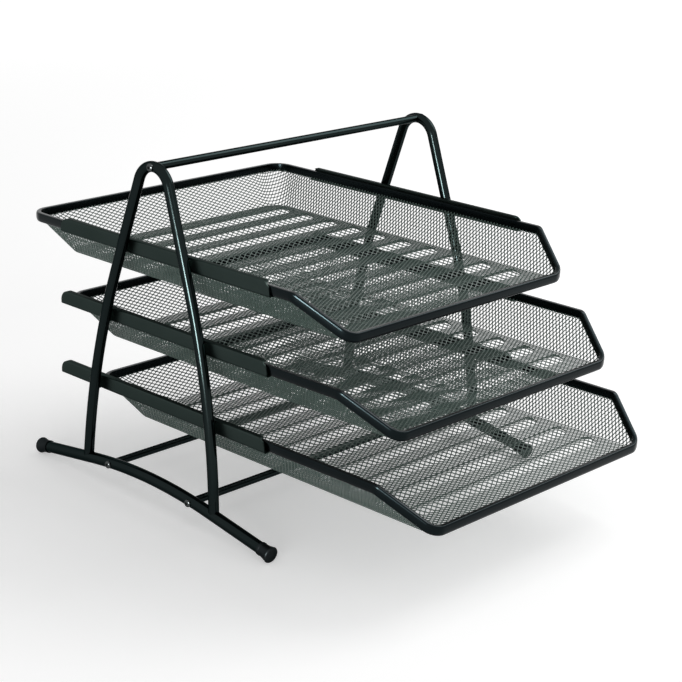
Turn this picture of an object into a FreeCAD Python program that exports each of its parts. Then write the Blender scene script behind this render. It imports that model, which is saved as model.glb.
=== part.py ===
import FreeCAD, Part
import math
import os

from FreeCAD import Placement, Rotation, Vector

# Three-tier letter tray: a tubular stand with six rails and three sliding mesh trays.
# Millimetres. +Z up, the open fronts of the trays face -Y, left is -X.
# The origin is on the desk, under the middle of the whole object as it stands.

# Stand
foot_half_spacing = 144.0     # from the middle to a foot tube's centre line
apex_half_spacing = 139.4     # the same at the top of a leg loop, so the sides lean in
apex_height = 259.0           # centre of the leg tube at its highest point
leg_diameter = 8.0
leg_lean = 19.0               # degrees from upright of a leg's straight upper run
leg_straight_end = 173.0      # height where the straight run turns into the long curve
leg_curve_radius = 583.0
arch_radius = 17.1            # bend at the top of the loop
foot_tube_diameter = 9.0
foot_arch_height = 21.1       # centre of the foot tube at the middle of its arch
foot_arch_radius = 440.0
foot_end_slope = 8.7          # degrees down of the straight ends
foot_tube_half_length = 131.5
bar_diameter = 6.0
base_bar_front_y = -49.0
base_bar_rear_y = 43.5
stand_y = 50.53               # the stand's middle lies this far behind the origin

# Foot caps
cap_bore_depth = 9.0
cap_collar_radius = 5.1
cap_collar_length = 1.6
cap_neck_radius = 4.85
cap_rim_radius = 6.25
cap_length = 12.2
cap_rim_rounding = 1.6
cap_dome = 0.7
cap_collar_bevel = 0.3
cap_flare_sag = 0.35          # how little the flare has widened at its middle

# Screws
screw_shank_diameter = 3.5
screw_clearance = 0.05
screw_grip = 10.0             # length of thread in the bar
screw_head_diameter = 6.0
screw_head_height = 2.1
screw_head_edge = 0.7         # straight edge below the dome
screw_seat_diameter = 6.5
screw_seat_depth = 0.5

# Rails and trays lie in tiers that rise towards the front
tier_slope = 1.006            # degrees
tiers = ("top", "middle", "bottom")
rail_bottom_height = {"top": 188.0, "middle": 130.4, "bottom": 73.7}
rail_face_half_spacing = {"top": 136.4, "middle": 137.0, "bottom": 137.6}
tray_rear = {"top": 155.8, "middle": 108.8, "bottom": 72.6}

# Rails: folded channels
rail_rear_end = 114.0
rail_front_end = -117.0
rail_height = 11.2
rail_sheet = 1.0
rail_flange = 5.4
rail_lip = 4.2
rail_fold_radius = 1.6
rail_corner_radius = 8.0
weld_pad_width = 5.0
weld_pad_height = 8.4

# Tray rim: folded strip with a groove along its top
rim_half_width = 133.1        # to the strip's centre line
rim_length = 329.2
rim_above_rail = 4.74         # strip's centre above the rail's underside
rim_thickness = 3.8
rim_depth = 7.0
rim_groove_width = 0.9
rim_groove_depth = 1.1
rim_ridge_bevel = 0.4
rim_rear_radius = 14.0
rim_drop_length = 37.2        # plan length of the slanted corner at the front
rim_front_half_width = 114.4
rim_front_drop = 25.15
rim_bend_radius = 7.0
rim_front_radius = 13.0

# Tray basket: pressed mesh sheet
basket_sheet = 0.6
basket_depth = 27.1           # rim centre to the top of the floor
basket_floor_half_width = 113.8
basket_floor_rear = 19.3      # floor's rear edge ahead of the rim's rear centre line
basket_wall_top = 1.6         # how far the wall reaches above the rim's centre
basket_wall_inset = 1.5       # the wall's inner face at the rim, inside the strip's centre line
basket_corner_radius = 14.0
rib_count = 10
rib_first = 43.0
rib_pitch = 28.0
rib_half_length = 104.0
rib_base_width = 12.0
rib_top_width = 5.0
rib_height = 2.6
rib_end_slope = 6.0

# Openings of the mesh, drawn as a plain coarse grid
net_columns = 8               # across the floor and the rear wall
net_side_columns = 10
net_half_width = 102.0        # of the grid on the floor
net_wall_half_width = 99.0    # of the grid on the rear wall
net_bar = 3.0                 # left between two openings, and beside a fold or the rim
net_side_rear = -37.0
net_side_front = -290.0

beyond = 400.0                # size of cutting blocks that reach past every piece

X_AXIS = Vector(1, 0, 0)
Y_AXIS = Vector(0, 1, 0)
Z_AXIS = Vector(0, 0, 1)
SIDES = {"left": -1, "right": 1}


def save(name, shape):
    """Move a piece from the stand's middle to the origin and write it."""
    placed = shape.copy()
    placed.translate(Vector(0, stand_y, 0))
    placed.exportStep(os.path.join("parts", name + ".step"))
    box = placed.optimalBoundingBox()
    print(f"{name:26s} solids {len(placed.Solids)} volume {placed.Volume:10.1f} valid {placed.isValid()}"
          f"  x {box.XMin:8.2f} {box.XMax:8.2f}  y {box.YMin:8.2f} {box.YMax:8.2f}"
          f"  z {box.ZMin:7.2f} {box.ZMax:7.2f}")
    return placed


def cylinder(radius, start, end):
    return Part.makeCylinder(radius, (end - start).Length, start, end - start)


def revolved(profile):
    """Solid of revolution about Z from a list of edges that starts and ends on the axis."""
    face = Part.Face(Part.Wire(profile))
    return face.revolve(Vector(0, 0, 0), Z_AXIS, 360)


def polygon(points):
    return Part.makePolygon(list(points) + [points[0]])


def arc(start, through, end):
    return Part.Arc(start, through, end).toShape()


def dome(rim, height):
    """Arc about Z from a rim point, in the XZ plane, to the top of a shallow spherical dome."""
    radius = (rim.x**2 + height**2) / (2 * height)
    half_angle = math.asin(rim.x / radius) / 2
    top = Vector(0, 0, rim.z + height)
    middle = top + Vector(radius * math.sin(half_angle), 0, -radius * (1 - math.cos(half_angle)))
    return [arc(rim, middle, top)], top


def line(start, end):
    return Part.LineSegment(start, end).toShape()


# Leg loop


def leg_arch_end():
    """Point where the bend at the top of the loop meets the rear leg."""
    lean = math.radians(leg_lean)
    centre = apex_height - arch_radius
    return Vector(0, arch_radius * math.cos(lean), centre + arch_radius * math.sin(lean))


def leg_half_spread(height):
    """Distance from the stand's middle to a leg's centre line at a height below the arch."""
    lean = math.radians(leg_lean)
    end = leg_arch_end()
    if height >= leg_straight_end:
        return end.y + (end.z - height) * math.tan(lean)
    knee = end.y + (end.z - leg_straight_end) * math.tan(lean)
    below = height - (leg_straight_end - leg_curve_radius * math.sin(lean))
    return knee - leg_curve_radius * math.cos(lean) + math.sqrt(leg_curve_radius**2 - below**2)


def leg_path():
    """Centre line of one leg loop in the YZ plane, from the rear foot over the arch to the front foot."""
    foot = leg_foot()
    middle_height = (foot.z + leg_straight_end) / 2
    middle = Vector(0, leg_half_spread(middle_height), middle_height)
    knee = Vector(0, leg_half_spread(leg_straight_end), leg_straight_end)
    arch_end = leg_arch_end()
    rear = [arc(foot, middle, knee), line(knee, arch_end)]
    front = [edge.mirror(Vector(0, 0, 0), Y_AXIS) for edge in rear]
    arch = arc(arch_end, Vector(0, 0, apex_height), Vector(0, -arch_end.y, arch_end.z))
    return Part.Wire(Part.sortEdges(rear + [arch] + front)[0])


def leg_foot():
    """Point on the foot tube's centre line where the rear leg stands."""
    y = leg_half_spread(foot_arch_height)
    return Vector(0, y, foot_height(y))


def tube_along(path, diameter):
    """Round bar along a planar path, made from a circle at the path's first point."""
    edge = path.OrderedEdges[0]
    start = path.OrderedVertexes[0].Point
    first = edge.FirstParameter
    tangent = edge.tangentAt(first)
    if (edge.valueAt(first) - start).Length > 1e-6:
        tangent = edge.tangentAt(edge.LastParameter)
    ring = Part.Wire(Part.makeCircle(diameter / 2, start, tangent))
    return path.makePipeShell([ring], True, False)


def leg_loop(side):
    """One leg loop, leaned inwards and coped where it stands on the foot tube."""
    loop = tube_along(leg_path(), leg_diameter)
    loop.translate(Vector(side * foot_half_spacing, 0, 0))
    return leaned_in(loop, side).cut(foot_tube_blank(side))


def leaned_in(shape, side):
    """Turn a shape that stands upright on a foot tube to the lean of the leg loops."""
    pivot = Vector(side * foot_half_spacing, 0, leg_foot().z)
    rise = apex_height - pivot.z
    lean_in = math.degrees(math.atan((foot_half_spacing - apex_half_spacing) / rise))
    leaned = shape.copy()
    leaned.rotate(pivot, Y_AXIS, -side * lean_in)
    return leaned


# Foot tube


def foot_arch_end():
    return foot_arch_radius * math.sin(math.radians(foot_end_slope))


def foot_height(y):
    """Height of the foot tube's centre line at a distance from its middle."""
    reach = foot_arch_end()
    if abs(y) <= reach:
        return foot_arch_height - foot_arch_radius + math.sqrt(foot_arch_radius**2 - y * y)
    end = foot_arch_height - foot_arch_radius * (1 - math.cos(math.radians(foot_end_slope)))
    return end - (abs(y) - reach) * math.tan(math.radians(foot_end_slope))


def foot_tube_blank(side):
    """The bent foot tube before its holes."""
    def at(y):
        return Vector(side * foot_half_spacing, y, foot_height(y))

    reach = foot_arch_end()
    end = foot_tube_half_length
    path = Part.Wire([
        line(at(-end), at(-reach)),
        arc(at(-reach), at(0), at(reach)),
        line(at(reach), at(end)),
    ])
    return tube_along(path, foot_tube_diameter)


def base_screw_points(side):
    return [
        Vector(side * foot_half_spacing, y, foot_height(y))
        for y in (base_bar_front_y, base_bar_rear_y)
    ]


def foot_tube(side):
    tube = foot_tube_blank(side)
    for point in base_screw_points(side):
        tube = tube.cut(screw_space(point, side, foot_tube_diameter))
    return tube


# Foot caps


def cap_profile():
    """Half section of a cap: open socket at the bottom of the section, domed end at the top."""
    bore = foot_tube_diameter / 2
    neck = cap_collar_length
    shoulder = cap_length - cap_rim_rounding - cap_dome
    rounding = cap_rim_rounding
    rim_centre = Vector(cap_rim_radius - rounding, 0, shoulder)
    diagonal = rounding * math.sqrt(0.5)
    top_edge = rim_centre + Vector(0, 0, rounding)
    points = [
        Vector(0, 0, cap_bore_depth),
        Vector(bore, 0, cap_bore_depth),
        Vector(bore, 0, 0),
        Vector(cap_collar_radius, 0, 0),
        Vector(cap_collar_radius, 0, neck),
        Vector(cap_neck_radius, 0, neck + cap_collar_bevel),
    ]
    edges = [line(a, b) for a, b in zip(points, points[1:])]
    flare_end = rim_centre + Vector(rounding, 0, 0)
    flare_middle = Vector(cap_neck_radius + cap_flare_sag, 0, (neck + shoulder) / 2)
    edges.append(arc(points[-1], flare_middle, flare_end))
    edges.append(arc(flare_end, rim_centre + Vector(diagonal, 0, diagonal), top_edge))
    cap_end, centre_top = dome(top_edge, cap_dome)
    return edges + cap_end + [line(centre_top, points[0])]


def foot_cap(side, end):
    """Cap pushed over one end of a foot tube, with a small flat worn face on the desk."""
    cap = revolved(cap_profile())
    slope = math.radians(foot_end_slope)
    along = Vector(0, end * math.cos(slope), -math.sin(slope))
    tip = Vector(side * foot_half_spacing, end * foot_tube_half_length, foot_height(foot_tube_half_length))
    base = tip - along * cap_bore_depth
    cap.Placement = Placement(base, Rotation(Z_AXIS, along))
    desk = Part.makeBox(beyond, beyond, beyond, Vector(base.x - beyond / 2, base.y - beyond / 2, -beyond))
    return cap.cut(desk)


# Screws and cross bars


def screw_space(point, side, tube_diameter):
    """Hole for a screw that crosses a tube from outside, with a seat for its head."""
    outer = Vector(side, 0, 0)
    shank = screw_shank_diameter / 2 + screw_clearance
    hole = cylinder(shank, point + outer * tube_diameter, point - outer * (tube_diameter / 2 + screw_grip + 1))
    seat_from = point + outer * (tube_diameter / 2 - screw_seat_depth)
    seat = cylinder(screw_seat_diameter / 2, seat_from, point + outer * tube_diameter)
    return hole.fuse(seat)


def screw(point, side, tube_diameter):
    """Domed screw whose head sits in its seat and whose thread ends in the bar."""
    head = screw_head_diameter / 2
    shank = screw_shank_diameter / 2
    length = tube_diameter - screw_seat_depth + screw_grip
    points = [
        Vector(0, 0, -length),
        Vector(shank, 0, -length),
        Vector(shank, 0, 0),
        Vector(head, 0, 0),
        Vector(head, 0, screw_head_edge),
    ]
    edges = [line(a, b) for a, b in zip(points, points[1:])]
    head_dome, top = dome(points[-1], screw_head_height - screw_head_edge)
    body = revolved(edges + head_dome + [line(top, points[0])])
    outer = Vector(side, 0, 0)
    seat = point + outer * (tube_diameter / 2 - screw_seat_depth)
    body.Placement = Placement(seat, Rotation(Z_AXIS, outer))
    return body


def cross_bar(y, z, half_length, ends, end_diameter):
    """Bar between the two sides, coped to the tubes and tapped for its screws."""
    bar = cylinder(bar_diameter / 2, Vector(-half_length, y, z), Vector(half_length, y, z))
    for tube in ends:
        bar = bar.cut(tube)
    for side in SIDES.values():
        bar = bar.cut(screw_space(Vector(side * half_length, y, z), side, end_diameter))
    return bar


# Rails


def tier_placement(tier):
    """Placement of a tier's own frame: Y along the rail, Z square to it, origin at the rail's underside."""
    return Placement(Vector(0, 0, rail_bottom_height[tier]), Rotation(X_AXIS, -tier_slope))


def rail_section(side, face):
    """Folded channel section in the XZ plane, with its open side inwards."""
    t = rail_sheet
    r = rail_fold_radius
    flange = face - rail_flange
    lip = face - rail_lip
    top = rail_height
    inner = r - t
    k = math.sqrt(0.5)

    def at(x, z):
        return Vector(side * x, rail_front_end, z)

    return Part.Wire([
        line(at(flange, 0), at(face - r, 0)),
        arc(at(face - r, 0), at(face - r + r * k, r - r * k), at(face, r)),
        line(at(face, r), at(face, top - r)),
        arc(at(face, top - r), at(face - r + r * k, top - r + r * k), at(face - r, top)),
        line(at(face - r, top), at(lip, top)),
        line(at(lip, top), at(lip, top - t)),
        line(at(lip, top - t), at(face - r, top - t)),
        arc(at(face - r, top - t), at(face - r + inner * k, top - r + inner * k), at(face - t, top - r)),
        line(at(face - t, top - r), at(face - t, r)),
        arc(at(face - t, r), at(face - r + inner * k, r - inner * k), at(face - r, t)),
        line(at(face - r, t), at(flange, t)),
        line(at(flange, t), at(flange, 0)),
    ])


def rail_corner_cutter(end_y, inward):
    """Removes the square upper corner of a rail's end and leaves it round."""
    radius = rail_corner_radius
    centre = Vector(-beyond / 2, end_y + inward * radius, rail_height - radius)
    low_y = centre.y - beyond if inward > 0 else centre.y
    block = Part.makeBox(beyond, beyond, beyond, Vector(centre.x, low_y, centre.z))
    return block.cut(Part.makeCylinder(radius, beyond, centre, X_AXIS))


def rail(side, tier, leg):
    """One rail with its two weld pads, seated on the leg loop."""
    face = rail_face_half_spacing[tier]
    length = rail_rear_end - rail_front_end
    channel = Part.Face(rail_section(side, face)).extrude(Vector(0, length, 0))
    channel = channel.cut(rail_corner_cutter(rail_front_end, 1))
    channel = channel.cut(rail_corner_cutter(rail_rear_end, -1))
    channel.Placement = tier_placement(tier)
    return channel.fuse(weld_pads(side, tier, face)).cut(leg).removeSplitter()


def weld_pads(side, tier, face):
    """Two small welds that fill the space between the rail's web and the legs."""
    middle = rail_bottom_height[tier] + rail_height / 2
    y = leg_half_spread(middle)
    width = foot_half_spacing - face
    low_x = face if side > 0 else -face - width
    pads = []
    for end in (1, -1):
        z = middle - end * y * math.tan(math.radians(tier_slope))
        corner = Vector(low_x, end * y - weld_pad_width / 2, z - weld_pad_height / 2)
        pads.append(Part.makeBox(width, weld_pad_width, weld_pad_height, corner))
    return pads[0].fuse(pads[1]).common(leg_reach(side))


def leg_reach(side):
    """Everything between the middle of the object and the legs' centre plane."""
    half = Part.makeBox(foot_half_spacing, beyond, beyond, Vector(0, -beyond / 2, 0))
    if side < 0:
        half.translate(Vector(-foot_half_spacing, 0, 0))
    return leaned_in(half, side)


# Tray rim


def rounded_loop(points, radii):
    """Closed wire through points in space, with an arc of the given radius at each of them."""
    count = len(points)
    starts, middles, ends = [], [], []
    for i, corner in enumerate(points):
        back = (points[i - 1] - corner).normalize()
        ahead = (points[(i + 1) % count] - corner).normalize()
        half = back.getAngle(ahead) / 2
        reach = radii[i] / math.tan(half)
        bisector = (back + ahead).normalize()
        centre = corner + bisector * (radii[i] / math.sin(half))
        starts.append(corner + back * reach)
        middles.append(centre - bisector * radii[i])
        ends.append(corner + ahead * reach)
    edges = []
    for i in range(count):
        edges.append(arc(starts[i], middles[i], ends[i]))
        edges.append(line(ends[i], starts[(i + 1) % count]))
    return Part.Wire(edges)


def rim_path():
    """Centre line of the rim: level round the back and sides, dropping to the front lip."""
    side = rim_half_width
    front = rim_front_half_width
    drop_start = -(rim_length - rim_drop_length)
    right = [
        Vector(side, 0, 0),
        Vector(side, drop_start, 0),
        Vector(front, -rim_length, -rim_front_drop),
    ]
    left = [Vector(-point.x, point.y, point.z) for point in reversed(right)]
    right_radii = [rim_rear_radius, rim_bend_radius, rim_front_radius]
    return rounded_loop(right + left, right_radii + right_radii[::-1])


def rim_section(origin):
    """Section of the folded strip in the YZ plane: two ridges with a groove between them."""
    half = rim_thickness / 2
    top = rim_depth / 2
    bevel = rim_ridge_bevel
    groove = rim_groove_width / 2
    right = [
        (half, -top),
        (half, top - 2 * bevel),
        (half - bevel, top),
        (groove + bevel, top),
        (groove, top - rim_groove_depth),
    ]
    left = [(-across, height) for across, height in reversed(right)]
    return polygon([origin + Vector(0, across, height) for across, height in right + left])


def rim():
    """The rim as a swept strip that stays upright all the way round."""
    path = rim_path()
    start = Vector(0, 0, 0)
    rear = [edge for edge in path.Edges if edge.Length > rim_half_width and abs(edge.CenterOfMass.y) < 1e-6][0]
    others = [edge for edge in path.Edges if not edge.isSame(rear)]
    halves = [line(start, rear.Vertexes[1].Point), line(rear.Vertexes[0].Point, start)]
    spine = Part.Wire(Part.sortEdges([halves[0]] + others + [halves[1]])[0])
    sweep = Part.BRepOffsetAPI.MakePipeShell(spine)
    sweep.setBiNormalMode(Z_AXIS)
    sweep.add(rim_section(start))
    sweep.build()
    sweep.makeSolid()
    return sweep.shape()


def in_tier(shape, tier):
    """Move a tray piece from its own frame, with its origin at the rim's rear, to its place."""
    placed = shape.copy()
    base = tier_placement(tier)
    lift = Vector(0, tray_rear[tier], rim_above_rail)
    placed.Placement = base.multiply(Placement(lift, Rotation())).multiply(placed.Placement)
    return placed


# Tray basket


def basket_outline(height, inset):
    """Outline of the pan at a height above its floor; the walls flare outwards all round the back."""
    flare = (rim_half_width - basket_wall_inset - basket_floor_half_width) / basket_depth
    grow = flare * height - inset
    half = basket_floor_half_width + grow
    rear = -basket_floor_rear + grow
    front = -beyond
    radius = basket_corner_radius
    k = radius * (1 - math.sqrt(0.5))
    z = height - basket_depth

    def at(x, y):
        return Vector(x, y, z)

    return Part.Wire([
        line(at(half, front), at(half, rear - radius)),
        arc(at(half, rear - radius), at(half - k, rear - k), at(half - radius, rear)),
        line(at(half - radius, rear), at(-half + radius, rear)),
        arc(at(-half + radius, rear), at(-half + k, rear - k), at(-half, rear - radius)),
        line(at(-half, rear - radius), at(-half, front)),
        line(at(-half, front), at(half, front)),
    ])


def pan(low, high, inset):
    return Part.makeLoft([basket_outline(low, inset), basket_outline(high, inset)], True, True)


def front_cutter():
    """Takes away all that lies above the slanted corners and ahead of the front lip."""
    lip = -rim_length
    drop_start = lip + rim_drop_length
    slope = rim_drop_length / rim_front_drop
    above = basket_depth
    below = -2 * basket_depth
    outline = [
        (drop_start + above * slope, above),
        (lip, -rim_front_drop),
        (lip, below),
        (-2 * beyond, below),
        (-2 * beyond, above),
    ]
    face = Part.Face(polygon([Vector(-beyond / 2, y, z) for y, z in outline]))
    return face.extrude(Vector(beyond, 0, 0))


def rib(index, lower):
    """One pressed rib as a low frustum, sunk by the given depth for its underside."""
    y = -(rib_first + index * rib_pitch)
    base_z = -basket_depth - lower
    half = rib_half_length
    end = rib_end_slope

    def rectangle(half_length, half_width, z):
        return polygon([
            Vector(-half_length, y - half_width, z),
            Vector(half_length, y - half_width, z),
            Vector(half_length, y + half_width, z),
            Vector(-half_length, y + half_width, z),
        ])

    foot = rectangle(half, rib_base_width / 2, base_z)
    crest = rectangle(half - end, rib_top_width / 2, base_z + rib_height)
    return Part.makeLoft([foot, crest], True, True)


def pressed_pan():
    """Pressed pan with flared walls, raised ribs and an open front, before its openings."""
    wall_top = basket_depth + basket_wall_top
    outer = pan(-basket_sheet, wall_top, -basket_sheet)
    inner = pan(0, wall_top + 1, 0)
    skin = outer.cut(inner).cut(front_cutter())
    ridges = [rib(i, 0) for i in range(rib_count)]
    hollows = [rib(i, basket_sheet) for i in range(rib_count)]
    return skin.fuse(ridges).cut(hollows)


def spans(low, high, count):
    """Equal openings between two ends, with a bar between each two."""
    pitch = (high - low + net_bar) / count
    return [(low + i * pitch, low + (i + 1) * pitch - net_bar) for i in range(count)]


def floor_rows():
    """Where the floor opens along the tray: on each rib and on each flat beside it."""
    beside = (rib_base_width + net_bar) / 2
    centres = [-(rib_first + i * rib_pitch) for i in range(rib_count)]
    rows = [(y - beside + net_bar, y + beside - net_bar) for y in centres]
    flats = [-basket_floor_rear - net_bar] + [y - beside for y in centres]
    ends = [y + beside for y in centres] + [-rim_length + net_bar + rim_thickness / 2]
    return rows + [(end, start) for start, end in zip(flats, ends)]


def block(x_span, y_span, z_span):
    low = Vector(x_span[0], y_span[0], z_span[0])
    size = Vector(x_span[1], y_span[1], z_span[1]) - low
    return Part.makeBox(size.x, size.y, size.z, low)


def openings():
    """Blocks that cut the grid through the floor and its ribs, both side walls and the rear wall."""
    through = (-basket_depth - rib_height, -basket_depth + 2 * rib_height)
    wall = (-basket_depth + net_bar, -rim_depth / 2 - net_bar / 2)
    across = (-rim_half_width - rim_depth, rim_half_width + rim_depth)
    behind = (-basket_floor_rear - net_bar, rim_depth)
    blocks = [block(x, y, through) for y in floor_rows() for x in spans(-net_half_width, net_half_width, net_columns)]
    blocks += [block(across, y, wall) for y in spans(net_side_front, net_side_rear, net_side_columns)]
    blocks += [block(x, behind, wall) for x in spans(-net_wall_half_width, net_wall_half_width, net_columns)]
    return blocks


def build_stand():
    pieces = {}
    leg_loops = {name: leg_loop(side) for name, side in SIDES.items()}
    handle_screws = []
    base_screws = []
    for name, side in SIDES.items():
        apex = Vector(side * apex_half_spacing, 0, apex_height)
        pieces["leg_loop_" + name] = leg_loops[name].cut(screw_space(apex, side, leg_diameter))
        pieces["foot_tube_" + name] = foot_tube(side)
        pieces["foot_cap_front_" + name] = foot_cap(side, -1)
        pieces["foot_cap_rear_" + name] = foot_cap(side, 1)
        handle_screws.append(screw(apex, side, leg_diameter))
        for point in base_screw_points(side):
            base_screws.append(screw(point, side, foot_tube_diameter))
        for tier in tiers:
            pieces[f"rail_{tier}_{name}"] = rail(side, tier, leg_loops[name])
    foot_tubes = [foot_tube_blank(side) for side in SIDES.values()]
    pieces["handle_bar"] = cross_bar(0, apex_height, apex_half_spacing, leg_loops.values(), leg_diameter)
    for place, y in (("front", base_bar_front_y), ("rear", base_bar_rear_y)):
        bar = cross_bar(y, foot_height(y), foot_half_spacing, foot_tubes, foot_tube_diameter)
        pieces["base_bar_" + place] = bar
    pieces["handle_screws"] = Part.makeCompound(handle_screws)
    pieces["base_screws"] = Part.makeCompound(base_screws)
    return pieces


def build_trays():
    closed = pressed_pan()
    strip = rim().cut(closed)
    mesh = closed.cut(openings())
    pieces = {}
    for tier in tiers:
        pieces["mesh_basket_" + tier] = in_tier(mesh, tier)
        pieces["tray_rim_" + tier] = in_tier(strip, tier)
    return pieces


def main():
    os.makedirs("parts", exist_ok=True)
    pieces = build_stand()
    pieces.update(build_trays())
    for name, shape in pieces.items():
        save(name, shape)


main()
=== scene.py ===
import logging
import math
from dataclasses import dataclass
from enum import Enum
from typing import Iterable, Optional, Sequence, Union

import bmesh
import bpy
from bpy.types import Material, Mesh, Node, NodeSocket, NodeTree, Object
from mathutils import Matrix, Vector


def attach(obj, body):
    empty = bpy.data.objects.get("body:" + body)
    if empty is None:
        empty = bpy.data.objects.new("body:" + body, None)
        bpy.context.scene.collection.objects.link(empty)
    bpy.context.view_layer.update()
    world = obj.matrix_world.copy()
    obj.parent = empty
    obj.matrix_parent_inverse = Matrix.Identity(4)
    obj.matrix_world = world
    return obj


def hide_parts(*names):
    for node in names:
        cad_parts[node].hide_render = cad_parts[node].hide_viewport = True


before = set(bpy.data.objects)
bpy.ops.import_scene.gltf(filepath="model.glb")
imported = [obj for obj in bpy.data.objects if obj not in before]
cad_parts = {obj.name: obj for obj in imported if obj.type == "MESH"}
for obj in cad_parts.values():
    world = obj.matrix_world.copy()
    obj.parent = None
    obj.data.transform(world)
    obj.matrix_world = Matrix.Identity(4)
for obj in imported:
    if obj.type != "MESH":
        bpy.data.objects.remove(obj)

logging.basicConfig(level=logging.INFO, format="%(message)s")
log = logging.getLogger("letter_tray")

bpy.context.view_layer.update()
MM = 0.001
STAND_Y = 50.53 * MM          # the stand's middle lies this far behind the origin
TIER_SLOPE = math.radians(1.006)
SHARP_EDGE = math.radians(50.0)   # edges of swept forms that turn by more stay sharp


class Side(Enum):
    """The two sides of the stand, as the sign of X."""

    LEFT = -1
    RIGHT = 1

    @property
    def label(self) -> str:
        """The side's name as the frame's nodes spell it."""
        return self.name.lower()


@dataclass(frozen=True)
class TierSeat:
    """Where one tier lies on the stand, in metres from the stand's middle."""

    name: str
    rail_bottom: float
    tray_rear: float

    @property
    def body(self) -> str:
        """The name of the body that slides in this tier."""
        return "tray_" + self.name

    def matrix(self, lift: float, rear: float) -> Matrix:
        """Placement of the tier's own frame in the row frame.

        Args:
            lift: height above the rail's underside, square to the rail.
            rear: distance along the rail, positive to the rear.

        Returns:
            The matrix from the tier's frame to the row frame.
        """
        tilt = Matrix.Rotation(-TIER_SLOPE, 4, "X")
        base = Matrix.Translation((0.0, STAND_Y, self.rail_bottom))
        return base @ tilt @ Matrix.Translation((0.0, rear, lift))


class Tier(Enum):
    """The three tiers from the top down."""

    TOP = TierSeat("top", 188.0 * MM, 155.8 * MM)
    MIDDLE = TierSeat("middle", 130.4 * MM, 108.8 * MM)
    BOTTOM = TierSeat("bottom", 73.7 * MM, 72.6 * MM)


# Small helpers for node trees

Socket = Union["Value", float]


class Value:
    """A number in a node tree that takes part in plain arithmetic."""

    def __init__(self, nodes: "NodeSheet", socket: NodeSocket) -> None:
        """Keep the sheet and the socket that carries the number."""
        self.nodes = nodes
        self.socket = socket

    def __add__(self, other: Socket) -> "Value":
        """Sum."""
        return self.nodes.math("ADD", self, other)

    def __sub__(self, other: Socket) -> "Value":
        """Difference."""
        return self.nodes.math("SUBTRACT", self, other)

    def __rsub__(self, other: Socket) -> "Value":
        """Difference with the number on the left."""
        return self.nodes.math("SUBTRACT", other, self)

    def __mul__(self, other: Socket) -> "Value":
        """Product."""
        return self.nodes.math("MULTIPLY", self, other)

    def __truediv__(self, other: Socket) -> "Value":
        """Quotient."""
        return self.nodes.math("DIVIDE", self, other)

    def __neg__(self) -> "Value":
        """The number with its sign turned."""
        return self.nodes.math("MULTIPLY", self, -1.0)

    def absolute(self) -> "Value":
        """The size without its sign."""
        return self.nodes.math("ABSOLUTE", self)

    def at_least(self, other: Socket) -> "Value":
        """The larger of two numbers."""
        return self.nodes.math("MAXIMUM", self, other)

    def at_most(self, other: Socket) -> "Value":
        """The smaller of two numbers."""
        return self.nodes.math("MINIMUM", self, other)

    def above(self, other: Socket) -> "Value":
        """1 where the number is larger than the other, otherwise 0."""
        return self.nodes.math("GREATER_THAN", self, other)


class NodeSheet:
    """A node tree with short ways to add nodes and links."""

    def __init__(self, tree: NodeTree) -> None:
        """Start with an empty tree."""
        self.tree = tree
        tree.nodes.clear()

    def add(self, kind: str, inputs: Optional[dict] = None, **settings: object) -> Node:
        """A new node with its settings, its inputs fed by name or number from values, sockets or constants."""
        node = self.tree.nodes.new(kind)
        for key, value in settings.items():
            setattr(node, key, value)
        for key, source in (inputs or {}).items():
            self.link(source, node.inputs[key])
        return node

    def out(self, kind: str, inputs: Optional[dict] = None, **settings: object) -> NodeSocket:
        """The first output of a new node."""
        return self.add(kind, inputs, **settings).outputs[0]

    def link(self, source: object, target: NodeSocket) -> None:
        """Feed a socket from a value, another socket or a constant."""
        if isinstance(source, Value):
            source = source.socket
        if isinstance(source, NodeSocket):
            self.tree.links.new(source, target)
        else:
            target.default_value = source

    def math(self, operation: str, first: Socket, second: Socket = 0.0) -> Value:
        """A math node on one or two numbers."""
        return Value(self, self.out("ShaderNodeMath", {0: first, 1: second}, operation=operation))

    def split(self, vector: NodeSocket) -> tuple[Value, Value, Value]:
        """The three parts of a vector."""
        return tuple(Value(self, out) for out in self.add("ShaderNodeSeparateXYZ", {0: vector}).outputs)

    def join(self, x: Socket, y: Socket, z: Socket) -> NodeSocket:
        """A vector from its three parts."""
        return self.out("ShaderNodeCombineXYZ", {0: x, 1: y, 2: z})


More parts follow.
